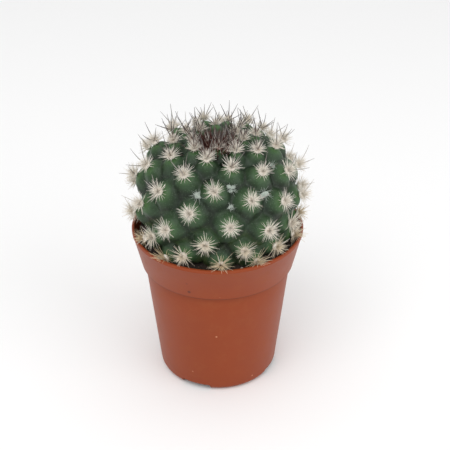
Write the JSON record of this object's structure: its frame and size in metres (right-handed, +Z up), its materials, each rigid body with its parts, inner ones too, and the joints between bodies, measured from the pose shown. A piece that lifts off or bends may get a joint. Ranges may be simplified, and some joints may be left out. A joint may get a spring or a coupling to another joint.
{
  "type": "potted round cactus",
  "caption": "Small round cactus with star-shaped spine clusters in a tapered plastic pot with a drained foot.",
  "frame": {"origin": "centre of the pot's flat underside", "axes": "+Z up from the underside through the crown, front of the plant towards -Y, +X to the right"},
  "size_m": [0.0569, 0.0575, 0.0864],
  "materials": {
    "pot_plastic": "satin terracotta-coloured moulded plastic",
    "potting_soil": "matt, crumbly peat with a few white grains",
    "stem_skin": "satin waxy green skin",
    "spines": "creamy white spines, darker at some tips",
    "crown_spines": "dark purple-brown young spines"
  },
  "bodies": {
    "root": {"pot": "pot_plastic", "soil": "potting_soil", "stem": "stem_skin", "crown_spines": "crown_spines", "spine_cluster_01": "spines", "spine_cluster_02": "spines", "spine_cluster_03": "spines", "spine_cluster_04": "spines", "spine_cluster_05": "spines", "spine_cluster_06": "spines", "spine_cluster_07": "spines", "spine_cluster_08": "spines", "spine_cluster_09": "spines", "spine_cluster_10": "spines", "spine_cluster_11": "spines", "spine_cluster_12": "spines", "spine_cluster_13": "spines", "spine_cluster_14": "spines", "spine_cluster_15": "spines", "spine_cluster_16": "spines", "spine_cluster_17": "spines", "spine_cluster_18": "spines", "spine_cluster_19": "spines", "spine_cluster_20": "spines", "spine_cluster_21": "spines", "spine_cluster_22": "spines", "spine_cluster_23": "spines", "spine_cluster_24": "spines", "spine_cluster_25": "spines", "spine_cluster_26": "spines", "spine_cluster_27": "spines", "spine_cluster_28": "spines", "spine_cluster_29": "spines", "spine_cluster_30": "spines", "spine_cluster_31": "spines", "spine_cluster_32": "spines", "spine_cluster_33": "spines", "spine_cluster_34": "spines", "spine_cluster_35": "spines", "spine_cluster_36": "spines", "spine_cluster_37": "spines", "spine_cluster_38": "spines", "spine_cluster_39": "spines", "spine_cluster_40": "spines", "spine_cluster_41": "spines", "spine_cluster_42": "spines", "spine_cluster_43": "spines", "spine_cluster_44": "spines", "spine_cluster_45": "spines", "spine_cluster_46": "spines", "spine_cluster_47": "spines", "spine_cluster_48": "spines", "spine_cluster_49": "spines", "spine_cluster_50": "spines", "spine_cluster_51": "spines", "spine_cluster_52": "spines", "spine_cluster_53": "spines", "spine_cluster_54": "spines", "spine_cluster_55": "spines", "spine_cluster_56": "spines"}
  },
  "joints": []
}
